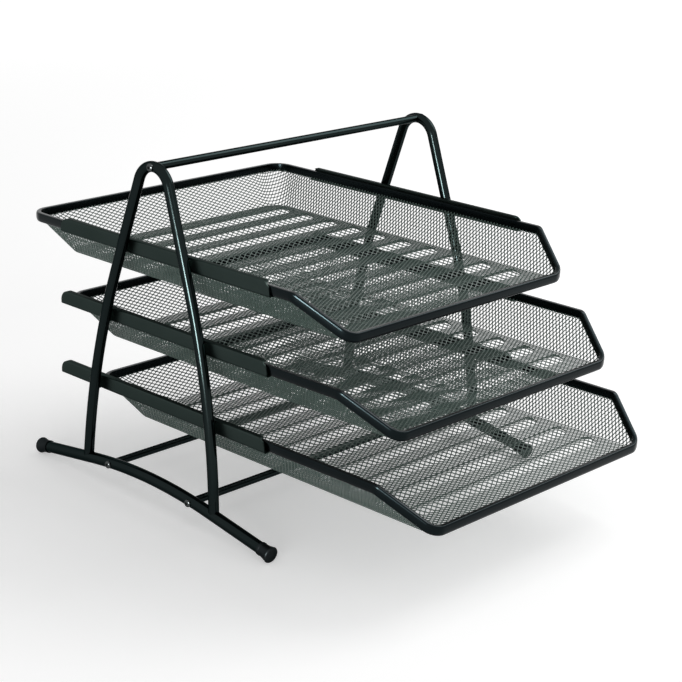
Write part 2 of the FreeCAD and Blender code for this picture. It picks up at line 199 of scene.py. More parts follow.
class ShapeTree(NodeSheet):
    """A Geometry Nodes tree with named number inputs, run once on a base object."""

    def __init__(self, name: str) -> None:
        """Make the group with its geometry input and output."""
        group = bpy.data.node_groups.new(name, "GeometryNodeTree")
        super().__init__(group)
        for way in ("INPUT", "OUTPUT"):
            group.interface.new_socket("Geometry", in_out=way, socket_type="NodeSocketGeometry")
        self.start = self.add("NodeGroupInput")
        self.end = self.add("NodeGroupOutput")
        self.identifiers: dict[str, str] = {}

    def number(self, name: str, kind: str = "Float") -> Value:
        """A named input of the tree.

        Args:
            name: the input's name.
            kind: Float, Int or Object.

        Returns:
            The input as a value of the tree.
        """
        item = self.tree.interface.new_socket(name, in_out="INPUT", socket_type="NodeSocket" + kind)
        self.identifiers[name] = item.identifier
        return Value(self, self.start.outputs[name])

    def numbers(self, *names: str) -> list[Value]:
        """Several named inputs that are plain numbers."""
        return [self.number(name) for name in names]

    def object_shape(self, name: str) -> NodeSocket:
        """The shape of the object that a named input brings."""
        return self.add("GeometryNodeObjectInfo", {"Object": self.number(name, "Object")}).outputs["Geometry"]

    def close(self, geometry: NodeSocket, material: Material, smooth: bool) -> None:
        """End the tree: realize what is instanced, shade it and give it its material.

        Args:
            geometry: the tree's finished shape.
            material: the material of all of it.
            smooth: whether its faces are shaded smooth.
        """
        real = self.out("GeometryNodeRealizeInstances", {0: geometry})
        shaded = self.out("GeometryNodeSetShadeSmooth", {0: real, "Shade Smooth": smooth})
        painted = self.out("GeometryNodeSetMaterial", {"Geometry": shaded, "Material": material})
        self.link(painted, self.end.inputs[0])

    def run(self, base: Object, inputs: dict[str, object]) -> Mesh:
        """The plain mesh that the tree makes of a base object.

        Args:
            base: object whose geometry the tree reads. It is used up.
            inputs: the value of each named input.

        Returns:
            A mesh with its materials in it.
        """
        modifier = base.modifiers.new(self.tree.name, "NODES")
        modifier.node_group = self.tree
        for name, value in inputs.items():
            modifier[self.identifiers[name]] = value
        graph = bpy.context.evaluated_depsgraph_get()
        mesh = bpy.data.meshes.new_from_object(base.evaluated_get(graph), depsgraph=graph)
        base.modifiers.remove(modifier)
        bpy.data.objects.remove(base)
        return mesh


# Finishes


@dataclass(frozen=True)
class Finish:
    """A coated or moulded surface: two close colours, a gloss that varies and a fine relief.

    A lacquered surface is mixed from the sheen of a dark lacquer, which stays low at flat angles, and matt colour.
    """

    name: str
    colour: tuple[float, float, float]
    second_colour: tuple[float, float, float]
    gloss: tuple[float, float]
    lacquer: float = 1.0
    edge_sheen: float = 0.45
    specular: float = 0.5
    grain_size: float = 1.2 * MM
    grain_depth: float = 0.02 * MM
    patch_size: float = 30 * MM

    def material(self) -> Material:
        """The procedural material of this finish."""
        material = bpy.data.materials.new(self.name)
        material.use_nodes = True
        sheet = NodeSheet(material.node_tree)
        place = sheet.add("ShaderNodeTexCoord").outputs["Object"]
        patches = self.noise(sheet, place, self.patch_size, 3.0)
        grain = self.noise(sheet, place, self.grain_size, 2.0)
        colours = {"Factor": patches, "A": (*self.colour, 1.0), "B": (*self.second_colour, 1.0)}
        low, high = self.gloss
        relief = {"Distance": self.grain_depth, "Strength": 1.0, "Height": grain}
        shader = sheet.out("ShaderNodeBsdfPrincipled", {
            "Base Color": sheet.add("ShaderNodeMix", colours, data_type="RGBA").outputs["Result"],
            "Metallic": self.lacquer,
            "Roughness": (Value(sheet, patches) + Value(sheet, grain)) * (0.5 * (high - low)) + low,
            "Normal": sheet.out("ShaderNodeBump", relief),
            "Specular IOR Level": self.specular,
            "Specular Tint": (self.edge_sheen, self.edge_sheen, self.edge_sheen, 1.0),
        })
        sheet.add("ShaderNodeOutputMaterial", {"Surface": shader})
        return material

    @staticmethod
    def noise(sheet: NodeSheet, place: NodeSocket, size: float, detail: float) -> NodeSocket:
        """A noise pattern whose blotches have about the given size."""
        return sheet.out("ShaderNodeTexNoise", {"Vector": place, "Scale": 1.0 / size, "Detail": detail})


FRAME_PAINT = Finish(
    name="semi gloss black tube paint",
    colour=(0.009, 0.014, 0.014),
    second_colour=(0.014, 0.019, 0.019),
    gloss=(0.12, 0.17),
    grain_depth=0.004 * MM,
)
RAIL_PAINT = Finish(
    name="semi gloss black sheet paint",
    colour=(0.022, 0.032, 0.029),
    second_colour=(0.030, 0.041, 0.038),
    gloss=(0.26, 0.36),
    grain_depth=0.03 * MM,
)
RIM_PAINT = Finish(
    name="semi gloss black rim paint",
    colour=(0.006, 0.009, 0.010),
    second_colour=(0.010, 0.014, 0.015),
    gloss=(0.17, 0.25),
    edge_sheen=0.9,
)
MESH_PAINT = Finish(
    name="black paint on expanded mesh",
    colour=(0.064, 0.094, 0.082),
    second_colour=(0.080, 0.116, 0.102),
    gloss=(0.32, 0.44),
    lacquer=0.0,
    specular=0.25,
    grain_depth=0.012 * MM,
)
CAP_PLASTIC = Finish(
    name="moulded black plastic",
    colour=(0.012, 0.015, 0.016),
    second_colour=(0.018, 0.021, 0.022),
    gloss=(0.34, 0.46),
    grain_size=0.5 * MM,
)
SCREW_STEEL = Finish(
    name="blackened screw steel",
    colour=(0.050, 0.056, 0.056),
    second_colour=(0.085, 0.092, 0.092),
    gloss=(0.14, 0.22),
    grain_size=0.4 * MM,
)


# Pieces and their meshes


class Maker:
    """Turns finished meshes into pieces of the frame and keeps one material for each finish."""

    def __init__(self) -> None:
        """Start with no materials made."""
        self.materials: dict[str, Material] = {}

    def material(self, finish: Finish) -> Material:
        """The material of a finish, made once."""
        if finish.name not in self.materials:
            self.materials[finish.name] = finish.material()
        return self.materials[finish.name]

    def piece(
        self,
        name: str,
        mesh: Mesh,
        body: str,
        slot: str,
        nodes: Sequence[str] = (),
        finish: Optional[Finish] = None,
    ) -> None:
        """Add a finished mesh to the scene as a piece of one body.

        Args:
            name: the piece's name.
            mesh: its mesh, already in its place.
            body: the body it moves with.
            slot: the record's material slot; not used.
            nodes: the frame's nodes that it stands for.
            finish: its finish where the mesh has no material yet.
        """
        if finish is not None:
            mesh.materials.clear()
            mesh.materials.append(self.material(finish))
        obj = scene_object(mesh, name)
        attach(obj, body)
        if nodes:
            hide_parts(*nodes)
        log.info("%s: %d faces, rides on %s", name, len(mesh.polygons), body)


def scene_object(data: bpy.types.ID, name: str = "base") -> Object:
    """A new object in the scene. Without a name it only carries a shape for a tree to read."""
    obj = bpy.data.objects.new(name, data)
    bpy.context.scene.collection.objects.link(obj)
    return obj


def path_curve(points: Iterable[Vector], closed: bool = False) -> bpy.types.Curve:
    """A curve of straight steps through the points.

    Args:
        points: the points in order.
        closed: whether the last point joins the first.

    Returns:
        The curve data.
    """
    curve = bpy.data.curves.new("path", "CURVE")
    curve.dimensions = "3D"
    listed = list(points)
    spline = curve.splines.new("POLY")
    spline.points.add(len(listed) - 1)
    for target, point in zip(spline.points, listed):
        target.co = (*point, 1.0)
    spline.use_cyclic_u = closed
    return curve


def arc_points(centre: Vector, first: Vector, second: Vector, start: float, end: float, steps: int) -> list[Vector]:
    """Points on an arc in the plane of two unit vectors.

    Args:
        centre: the arc's centre.
        first: vector of the arc's radius at angle 0.
        second: vector of the arc's radius at a quarter turn.
        start: first angle in radians.
        end: last angle in radians.
        steps: number of steps between them.

    Returns:
        steps + 1 points.
    """
    angles = (start + (end - start) * i / steps for i in range(steps + 1))
    return [centre + first * math.cos(a) + second * math.sin(a) for a in angles]


def lathe(profile: Sequence[tuple[float, float]], turns: int = 48) -> Mesh:
    """A closed form turned about Z from (radius, height) pairs that start and end on the axis.

    Args:
        profile: the half section, from one end of the axis to the other, anticlockwise.
        turns: number of facets round the axis.

    Returns:
        The mesh.
    """
    shape = bmesh.new()
    rings = []
    for radius, height in profile:
        if radius == 0.0:
            rings.append([shape.verts.new((0.0, 0.0, height))])
            continue
        angles = (2 * math.pi * i / turns for i in range(turns))
        rings.append([shape.verts.new((radius * math.cos(a), radius * math.sin(a), height)) for a in angles])
    for lower, upper in zip(rings, rings[1:]):
        for i in range(turns):
            j = (i + 1) % turns
            corners = [lower[i % len(lower)], lower[j % len(lower)], upper[j % len(upper)], upper[i % len(upper)]]
            shape.faces.new(list(dict.fromkeys(corners)))
    bmesh.ops.recalc_face_normals(shape, faces=shape.faces)
    return finished(shape)


def finished(shape: bmesh.types.BMesh, name: str = "form", smooth_angle: float = 40.0) -> Mesh:
    """A mesh from a bmesh, smooth except across sharp edges."""
    for face in shape.faces:
        face.smooth = True
    limit = math.radians(smooth_angle)
    for edge in shape.edges:
        edge.smooth = len(edge.link_faces) == 2 and edge.calc_face_angle(0.0) < limit
    mesh = bpy.data.meshes.new(name)
    shape.to_mesh(mesh)
    shape.free()
    return mesh


def merged_copy(node: str, smooth_angle: float = 30.0) -> Mesh:
    """A node's own mesh with its facets joined and shaded smooth up to an angle."""
    shape = bmesh.new()
    shape.from_mesh(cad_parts[node].data)
    bmesh.ops.remove_doubles(shape, verts=shape.verts, dist=1e-6)
    return finished(shape, node, smooth_angle)


def keep_sharp_edges(mesh: Mesh) -> None:
    """Turn a swept mesh's faces outwards and mark the edges that are shaded sharp."""
    shape = bmesh.new()
    shape.from_mesh(mesh)
    bmesh.ops.recalc_face_normals(shape, faces=shape.faces)
    for edge in shape.edges:
        edge.smooth = edge.calc_face_angle(0.0) < SHARP_EDGE
    shape.to_mesh(mesh)
    shape.free()


class TubeTree(ShapeTree):
    """Round tube along a path, with closed ends."""

    def __init__(self, material: Material) -> None:
        """Build the tree for one paint."""
        super().__init__("round tube along a path")
        diameter = self.number("Diameter")
        sides = self.number("Sides", "Int")
        ring = self.out("GeometryNodeCurvePrimitiveCircle", {"Resolution": sides, "Radius": diameter * 0.5})
        swept = {"Curve": self.start.outputs["Geometry"], "Profile Curve": ring, "Fill Caps": True}
        self.close(self.out("GeometryNodeCurveToMesh", swept), material, True)

    def tube(self, points: Iterable[Vector], diameter: float, sides: int = 36) -> Mesh:
        """A tube through the points.

        Args:
            points: its centre line.
            diameter: its outer diameter.
            sides: number of facets round it.

        Returns:
            The mesh, with sharp edges at its ends.
        """
        mesh = self.run(scene_object(path_curve(points)), {"Diameter": diameter, "Sides": sides})
        keep_sharp_edges(mesh)
        return mesh


@dataclass
class Stand:
    """The two arched sides with their bars, caps and screws."""

    LEG_STEPS = 24
    ARCH_STEPS = 32
    FOOT_STEPS = 32
    BAR_SIDES = 32

    maker: Maker
    foot_half_spacing: float = 144.0 * MM
    apex_half_spacing: float = 139.4 * MM
    apex_height: float = 259.0 * MM
    leg_diameter: float = 8.0 * MM
    leg_lean: float = math.radians(19.0)
    leg_straight_end: float = 173.0 * MM
    leg_curve_radius: float = 583.0 * MM
    arch_radius: float = 17.1 * MM
    foot_diameter: float = 9.0 * MM
    foot_arch_height: float = 21.1 * MM
    foot_arch_radius: float = 440.0 * MM
    foot_end_slope: float = math.radians(8.7)
    foot_half_length: float = 131.5 * MM
    bar_diameter: float = 6.0 * MM
    base_bar_places: tuple[tuple[str, float], ...] = (("front", -49.0 * MM), ("rear", 43.5 * MM))
    screw_seat_depth: float = 0.5 * MM

    def build(self) -> None:
        """Make every piece of the stand."""
        tubes = TubeTree(self.maker.material(FRAME_PAINT))
        for side in Side:
            loop = tubes.tube(self.leg_points(side), self.leg_diameter)
            self.add(f"leg_loop_{side.label}_tube", loop, f"leg_loop_{side.label}")
            foot = tubes.tube(self.foot_points(side), self.foot_diameter)
            self.add(f"foot_tube_{side.label}_tube", foot, f"foot_tube_{side.label}")
            for end in ("front", "rear"):
                node = f"foot_cap_{end}_{side.label}"
                self.maker.piece(node + "_moulding", merged_copy(node), "stand", "cap_plastic", [node], CAP_PLASTIC)
        self.bars(tubes)
        self.screws()

    def add(self, name: str, mesh: Mesh, node: str) -> None:
        """Add one painted piece of the stand."""
        self.maker.piece(name, mesh, "stand", "frame_paint", [node])

    def leg_half_spread(self, height: float) -> float:
        """Distance from the stand's middle to a leg's centre line below the arch."""
        end_y, end_z = self.arch_end()
        knee = end_y + (end_z - self.leg_straight_end) * math.tan(self.leg_lean)
        below = height - (self.leg_straight_end - self.leg_curve_radius * math.sin(self.leg_lean))
        return knee - self.leg_curve_radius * math.cos(self.leg_lean) + math.sqrt(self.leg_curve_radius**2 - below**2)

    def arch_end(self) -> tuple[float, float]:
        """Distance and height where the top bend meets a leg."""
        centre = self.apex_height - self.arch_radius
        return self.arch_radius * math.cos(self.leg_lean), centre + self.arch_radius * math.sin(self.leg_lean)

    def foot_height(self, y: float) -> float:
        """Height of a foot tube's centre line at a distance from its middle."""
        reach = self.foot_arch_radius * math.sin(self.foot_end_slope)
        if abs(y) <= reach:
            return self.foot_arch_height - self.foot_arch_radius + math.sqrt(self.foot_arch_radius**2 - y * y)
        end = self.foot_arch_height - self.foot_arch_radius * (1 - math.cos(self.foot_end_slope))
        return end - (abs(y) - reach) * math.tan(self.foot_end_slope)

    def foot_standing_height(self) -> float:
        """Height where the legs stand on a foot tube."""
        return self.foot_height(self.leg_half_spread(self.foot_arch_height))

    def leg_points(self, side: Side) -> list[Vector]:
        """Centre line of one leg loop, leaned inwards."""
        low = self.foot_standing_height()
        shares = (i / self.LEG_STEPS for i in range(self.LEG_STEPS + 1))
        heights = [low + (self.leg_straight_end - low) * share for share in shares]
        rear = [Vector((0.0, self.leg_half_spread(z), z)) for z in heights]
        centre = Vector((0.0, 0.0, self.apex_height - self.arch_radius))
        y_axis, z_axis = Vector((0, self.arch_radius, 0)), Vector((0, 0, self.arch_radius))
        arch = arc_points(centre, y_axis, z_axis, self.leg_lean, math.pi - self.leg_lean, self.ARCH_STEPS)
        front = [Vector((0.0, -point.y, point.z)) for point in reversed(rear)]
        lean_in = (self.foot_half_spacing - self.apex_half_spacing) / (self.apex_height - low)
        return [
            Vector((side.value * (self.foot_half_spacing - (p.z - low) * lean_in), p.y + STAND_Y, p.z))
            for p in rear + arch + front
        ]

    def foot_points(self, side: Side) -> list[Vector]:
        """Centre line of one foot tube."""
        reach = self.foot_arch_radius * math.sin(self.foot_end_slope)
        arch = [reach * (2 * i / self.FOOT_STEPS - 1) for i in range(self.FOOT_STEPS + 1)]
        ys = [-self.foot_half_length, *arch, self.foot_half_length]
        return [Vector((side.value * self.foot_half_spacing, y + STAND_Y, self.foot_height(y))) for y in ys]

    def bars(self, tubes: TubeTree) -> None:
        """The handle bar and the two base bars, each ending inside the tubes it joins."""
        rows = [("handle_bar", 0.0, self.apex_height, self.apex_half_spacing)]
        for place, y in self.base_bar_places:
            rows.append(("base_bar_" + place, y, self.foot_height(y), self.foot_half_spacing))
        for node, y, z, half in rows:
            ends = [Vector((x, y + STAND_Y, z)) for x in (-half, half)]
            self.add(node + "_rod", tubes.tube(ends, self.bar_diameter, self.BAR_SIDES), node)

    def screws(self) -> None:
        """Button head screws, set by a tree on the points where they go in."""
        tree = ScrewTree(self.maker.material(SCREW_STEEL))
        leg_face = self.apex_half_spacing + self.leg_diameter / 2 - self.screw_seat_depth
        foot_face = self.foot_half_spacing + self.foot_diameter / 2 - self.screw_seat_depth
        handle = [(side, Vector((side.value * leg_face, STAND_Y, self.apex_height))) for side in Side]
        base = [
            (side, Vector((side.value * foot_face, y + STAND_Y, self.foot_height(y))))
            for side in Side
            for _, y in self.base_bar_places
        ]
        for node, places in (("handle_screws", handle), ("base_screws", base)):
            self.maker.piece(node + "_heads", tree.screws(places), "stand", "screw_steel", [node])


class ScrewTree(ShapeTree):
    """Button head screws with a six-sided socket, one on each point."""

    HEAD_RADIUS = 3.0 * MM
    HEAD_HEIGHT = 2.1 * MM
    HEAD_EDGE_SHARE = 0.34        # part of the head's height below its dome
    DOME_STEP = 10                # degrees
    DOME_POINTS = 9
    BEVEL = 0.1 * MM
    SHANK_RADIUS = 1.7 * MM
    SHANK_LENGTH = 8.0 * MM
    SOCKET_RADIUS = 1.15 * MM
    SOCKET_DEPTH = 1.1 * MM
    SOCKET_CONE = 0.2 * MM
    SOCKET_FLAT_TURN = math.pi / 3
    FACETS = 36

    def __init__(self, material: Material) -> None:
        """Build the tree for one steel."""
        super().__init__("screws on points")
        side = self.out("GeometryNodeInputNamedAttribute", {"Name": "side"}, data_type="FLOAT")
        turn = self.join(0.0, Value(self, side) * (math.pi / 2), 0.0)
        screws = {"Instance": self.object_shape("Screw"), "Rotation": turn}
        points = self.start.outputs["Geometry"]
        self.close(self.out("GeometryNodeInstanceOnPoints", {"Points": points, **screws}), material, True)

    def head(self) -> Mesh:
        """One screw along Z, its head upwards and its seat at height 0."""
        head, height, socket = self.HEAD_RADIUS, self.HEAD_HEIGHT, self.SOCKET_RADIUS
        edge = height * self.HEAD_EDGE_SHARE
        dome = []
        for i in range(self.DOME_POINTS):
            turn = math.radians(self.DOME_STEP * i)
            dome.append((socket + (head - socket) * math.cos(turn), edge + (height - edge) * math.sin(turn)))
        profile = [(0.0, -self.SHANK_LENGTH), (self.SHANK_RADIUS, -self.SHANK_LENGTH), (self.SHANK_RADIUS, 0.0)]
        profile += [(head - self.BEVEL, 0.0), (head, self.BEVEL), *dome]
        profile += [(socket, height - self.BEVEL), (socket, height - self.SOCKET_DEPTH)]
        profile += [(0.0, height - self.SOCKET_DEPTH - self.SOCKET_CONE)]
        mesh = lathe(profile, self.FACETS)
        half_turn = self.SOCKET_FLAT_TURN / 2
        for vertex in mesh.vertices:
            point = vertex.co
            on_socket = abs(math.hypot(point.x, point.y) - socket) < 0.001 * MM
            if on_socket and 0.0 < point.z < height - self.BEVEL / 2:
                angle = math.atan2(point.y, point.x) % self.SOCKET_FLAT_TURN - half_turn
                flat = math.cos(half_turn) / math.cos(angle)
                point.x *= flat
                point.y *= flat
        return mesh

    def screws(self, places: Sequence[tuple[Side, Vector]]) -> Mesh:
        """Screws whose heads face outwards at the given seats."""
        points = bpy.data.meshes.new("seats")
        points.from_pydata([tuple(point) for _, point in places], [], [])
        sides = points.attributes.new("side", "FLOAT", "POINT")
        for row, (side, _) in zip(sides.data, places):
            row.value = side.value
        model = scene_object(self.head())
        mesh = self.run(scene_object(points), {"Screw": model})
        bpy.data.objects.remove(model)
        return mesh


@dataclass
class Rails:
    """The six folded rails, with their rounded ends and welds."""

    maker: Maker

    def build(self) -> None:
        """Dress each rail in sheet paint."""
        for tier in Tier:
            for side in Side:
                node = f"rail_{tier.value.name}_{side.label}"
                self.maker.piece(node + "_channel", merged_copy(node), "stand", "frame_paint", [node], RAIL_PAINT)


# Trays


def rounded_loop(points: Sequence[Vector], radii: Sequence[float], steps: int) -> list[Vector]:
    """Closed line through points in space, with an arc of the given radius at each of them.

    Args:
        points: the corners in order.
        radii: the radius at each corner.
        steps: steps in each arc.

    Returns:
        The points of the line in order.
    """
    line: list[Vector] = []
    count = len(points)
    for i, corner in enumerate(points):
        back = (points[i - 1] - corner).normalized()
        ahead = (points[(i + 1) % count] - corner).normalized()
        half = back.angle(ahead) / 2
        bisector = (back + ahead).normalized()
        centre = corner + bisector * (radii[i] / math.sin(half))
        start = (corner + back * (radii[i] / math.tan(half))) - centre
        across = -bisector * radii[i]
        sweep = math.pi - 2 * half
        second = (across - start * math.cos(sweep / 2)) / math.sin(sweep / 2)
        line += arc_points(centre, start, second, 0.0, sweep, steps)
    return line


class RimTree(ShapeTree):
    """Folded strip that follows a path and stays upright."""

    def __init__(self, material: Material) -> None:
        """Build the tree for one paint."""
        super().__init__("folded strip along a path")
        section = self.object_shape("Section")
        path = self.start.outputs["Geometry"]
        upright = self.out("GeometryNodeSetCurveNormal", {"Curve": path}, mode="Z_UP")
        swept = self.out("GeometryNodeCurveToMesh", {"Curve": upright, "Profile Curve": section})
        self.close(swept, material, True)


class NetTree(ShapeTree):
    """Expanded mesh: one bond with two strands, repeated over a flat sheet that is then pressed to a pan."""

    MERGE_DISTANCE = 0.004 * MM

    def __init__(self, material: Material) -> None:
        """Build the tree for one paint."""
        super().__init__("expanded mesh pressed to a pan")
        self.long_pitch, self.short_pitch = self.numbers("Long pitch", "Short pitch")
        self.half_width, self.rear, self.corner = self.numbers("Floor half width", "Floor rear", "Corner radius")
        self.flare, self.depth, self.floor = self.numbers("Wall flare", "Wall depth", "Floor height")
        self.slant = self.math("SQRT", self.flare * self.flare + self.depth * self.depth)
        bond, spots = self.start.outputs["Geometry"], self.kept_spots(self.bond_points())
        bonds = self.out("GeometryNodeInstanceOnPoints", {"Points": spots, "Instance": bond})
        real = self.out("GeometryNodeRealizeInstances", {0: bonds})
        welded = self.out("GeometryNodeMergeByDistance", {"Geometry": real, "Distance": self.MERGE_DISTANCE})
        u, v, w = self.split(self.out("GeometryNodeInputPosition"))
        place = self.join(*self.pressed(u, v, w))
        self.close(self.out("GeometryNodeSetPosition", {"Geometry": welded, "Position": place}), material, False)

    def bond_points(self) -> NodeSocket:
        """Points of the staggered grid on the flat sheet."""
        columns = self.number("Columns", "Int")
        rows = self.number("Rows", "Int")
        middle = self.number("Sheet middle")
        sizes = {"Size X": self.long_pitch * (columns - 1.0), "Size Y": self.short_pitch * (rows - 1.0)}
        grid = self.out("GeometryNodeMeshGrid", {"Vertices X": columns, "Vertices Y": rows, **sizes})
        both = self.add("GeometryNodeJoinGeometry")
        for shift in (0.5, 0.0):
            offset = self.join(self.long_pitch * shift, self.short_pitch * shift + middle, 0.0)
            self.link(self.out("GeometryNodeTransform", {"Geometry": grid, "Translation": offset}), both.inputs[0])
        return both.outputs[0]

    def kept_spots(self, points: NodeSocket) -> NodeSocket:
        """The grid's points without those past the rim, ahead of the lip or outside this part of the sheet."""
        top, lip, drop_start, drop_slope = self.numbers("Wall top", "Lip", "Drop start", "Drop slope")
        corner_cut, corner_lean = self.numbers("Lip corner cut", "Lip corner lean")
        front, back = self.numbers("Part front", "Part rear")
        u, v, _ = self.split(self.out("GeometryNodeInputPosition"))
        _, _, _, reach = self.outward(u, v)
        height = self.floor + self.depth * (reach / self.slant)
        limit = self.floor + self.depth * (top / self.slant)
        falling = ((drop_start - v) * drop_slope).at_least(0.0)
        edge = self.half_width + (limit - falling - self.floor) * self.slant / self.depth
        rounded = corner_cut - (edge - u.absolute()) * corner_lean - (v - lip)
        outside = height.above(limit - falling) + (lip - v).above(0.0) + rounded.above(0.0)
        outside = outside + (front - v).above(0.0) + (v - back).above(-1e-7)
        cut = {"Geometry": points, "Selection": outside.above(0.5)}
        return self.out("GeometryNodeDeleteGeometry", cut, domain="POINT")

    def outward(self, u: Value, v: Value) -> tuple[Value, Value, Value, Value]:
        """Where a point of the flat sheet lies against the floor's rounded outline.

        Returns:
            The straight part across, the straight part along, the turn round the corner
            and the distance beyond the outline.
        """
        inner_x = self.half_width - self.corner
        inner_y = self.rear - self.corner
        across = (u.absolute() - inner_x).at_least(0.0)
        along = (v - inner_y).at_least(0.0)
        distance = self.math("SQRT", across * across + along * along)
        turn = self.math("ARCTAN2", along, across)
        return u.absolute().at_most(inner_x), v.at_most(inner_y), turn, (distance - self.corner).at_least(0.0)

    def pressed(self, u: Value, v: Value, w: Value) -> tuple[Value, Value, Value]:
        """The place on the pan of a point of the flat sheet.

        Args:
            u: the point's place across the sheet.
            v: its place along the sheet.
            w: its height on the sheet.

        Returns:
            X, Y and Z in the tray's frame.
        """
        base_x, base_y, turn, reach = self.outward(u, v)
        share = reach / self.slant
        spread = self.flare * share
        quarter = self.corner * (math.pi / 2)
        run = turn * (2 / math.pi) * (spread * 2.0 + quarter)
        first = run.at_most(spread)
        angle = (run - spread).at_least(0.0).at_most(quarter) / self.corner
        last = (run - spread - quarter).at_least(0.0)
        sine = self.math("SINE", angle)
        cosine = self.math("COSINE", angle)
        inward = w * (self.depth / self.slant)
        upward = w * (self.flare / self.slant)
        on_wall = reach.above(0.0)
        side = self.math("SIGN", u)
        wall_x = side * (base_x + spread + self.corner * cosine - last - inward * cosine)
        wall_y = base_y + first + self.corner * sine - inward * sine
        wall_z = self.floor + self.depth * share + upward
        aside, ahead, lift = self.ribbed(u, v, w)
        floor_z = self.floor + lift
        keep = 1.0 - on_wall
        x = (u + aside) * keep + wall_x * on_wall
        y = (v + ahead) * keep + wall_y * on_wall
        return x, y, floor_z * keep + wall_z * on_wall

    def ribbed(self, u: Value, v: Value, w: Value) -> tuple[Value, Value, Value]:
        """How the pressed ribs, long and round at their ends, move a point of the floor.

        Args:
            u: the point's place across the sheet.
            v: its place along the sheet.
            w: its height on the sheet, kept square to the ribs' slopes.

        Returns:
            The shifts across, along and upwards.
        """
        first, pitch, count = self.numbers("First rib", "Rib pitch", "Ribs")
        half_length, half_base = self.numbers("Rib half length", "Rib half base")
        half_top, height = self.numbers("Rib half top", "Rib height")
        back = -v - first
        nearest = self.math("ROUND", back / pitch).at_least(0.0).at_most(count - 1.0)
        off = back - nearest * pitch
        past = (u.absolute() - (half_length - half_base)).at_least(0.0)
        distance = self.math("SQRT", off * off + past * past)
        run = half_base - half_top
        share = ((half_base - distance) / run).at_least(0.0).at_most(1.0)
        slope = share.above(0.0) * (1.0 - share.above(0.999))
        length = self.math("SQRT", run * run + height * height)
        tilt = slope * w * height / (length * distance.at_least(1e-5))
        upward = w * (1.0 - slope) + w * slope * run / length
        return self.math("SIGN", u) * past * tilt, -off * tilt, share * height + upward


@dataclass(frozen=True)
class RimSection:
    """Section of the folded strip: a broad shoulder outside, a slim ridge inside and a groove between them."""

    thickness: float = 3.8 * MM
    depth: float = 7.0 * MM
    foot_radius: float = 0.35 * MM
    heel: float = 2.0 * MM
    shoulder: float = 3.6 * MM
    crest: float = 0.85 * MM
    groove_half_width: float = 0.36 * MM
    groove_depth: float = 1.3 * MM
    groove_bevel: float = 0.12 * MM
    groove_mouth: float = 0.5 * MM
    ridge_mouth: float = 0.7 * MM
    ridge_drop: float = 0.1 * MM
    ridge_start: float = 0.3       # radians above the groove's side

    def points(self) -> list[Vector]:
        """The closed section, with X to the inside of the path and Y upwards."""
        half, top, gap = self.thickness / 2, self.depth / 2, self.groove_half_width
        x_axis, y_axis, quarter = Vector((1, 0, 0)), Vector((0, 1, 0)), math.pi / 2
        heel = Vector((half - self.heel / 2, self.heel - top, 0))
        line = arc_points(heel, -y_axis * self.heel, x_axis * self.heel / 2, 0, quarter, 6)
        shoulder = Vector((self.crest, top - self.shoulder, 0))
        line += arc_points(shoulder, x_axis * (half - self.crest), y_axis * self.shoulder, 0, quarter, 10)
        line += [
            Vector((gap + self.groove_bevel, top - self.groove_bevel, 0)),
            Vector((gap, top - self.groove_mouth, 0)),
            Vector((gap, top - self.groove_depth, 0)),
            Vector((-gap, top - self.groove_depth, 0)),
            Vector((-gap, top - self.ridge_mouth, 0)),
        ]
        radius = (half - gap) / 2
        ridge = Vector((-gap - radius, top - radius - self.ridge_drop, 0))
        line += arc_points(ridge, x_axis * radius, y_axis * radius, self.ridge_start, math.pi, 8)
        foot = Vector((self.foot_radius - half, self.foot_radius - top, 0))
        line += arc_points(foot, -x_axis * self.foot_radius, -y_axis * self.foot_radius, 0, quarter, 3)
        return [Vector((-point.x, point.y, 0.0)) for point in reversed(line)]


